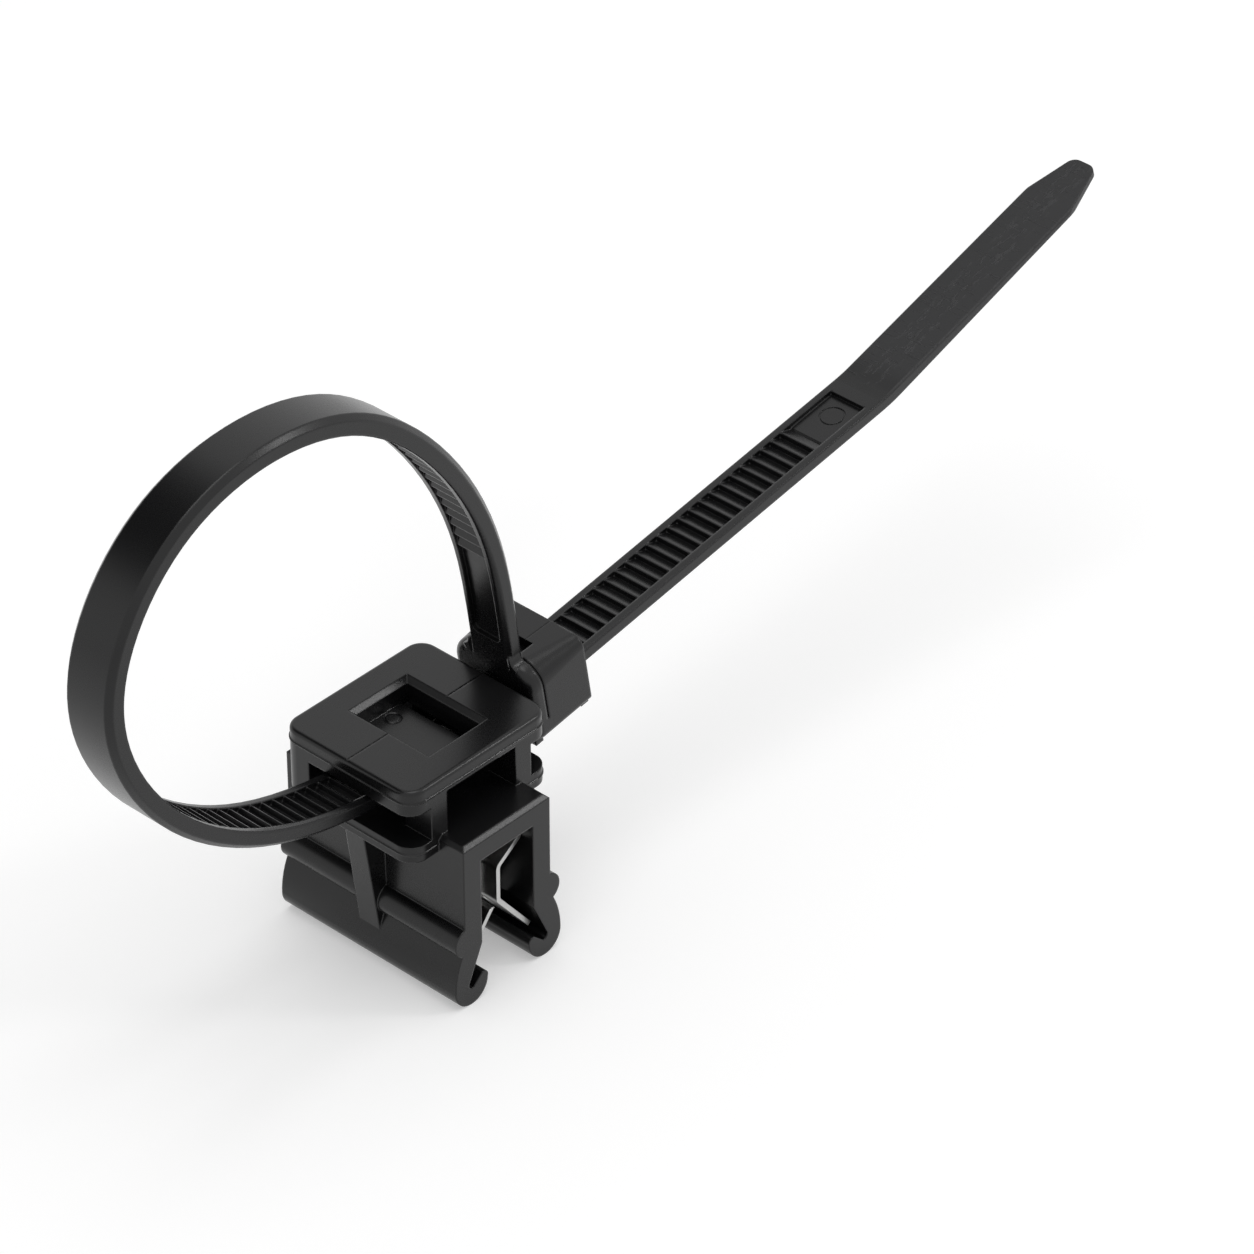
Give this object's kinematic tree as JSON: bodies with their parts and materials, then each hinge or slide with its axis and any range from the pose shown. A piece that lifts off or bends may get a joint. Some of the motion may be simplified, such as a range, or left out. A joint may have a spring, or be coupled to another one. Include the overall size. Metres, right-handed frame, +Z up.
{
  "type": "edge clip cable tie",
  "caption": "Cable tie threaded through a clip whose spring-lined jaws snap onto the edge of a panel to hold a bundle of cables.",
  "frame": {"origin": "middle of the jaws' mouth, level with the bottom of the lips, where the panel's edge goes in", "axes": "+Z up, away from the panel; Y along the panel's edge and across the strap; +X along the strap through the clip, from the loop towards the tail"},
  "size_m": [0.1119, 0.0186, 0.0542],
  "materials": {
    "clip_nylon": "black moulded nylon, satin",
    "spring_steel": "bright rolled spring steel with sheared edges",
    "tie_nylon": "black moulded nylon, satin"
  },
  "bodies": {
    "root": {"edge_clip": "clip_nylon", "spring_clamp": "spring_steel", "cable_tie": "tie_nylon"}
  },
  "joints": []
}
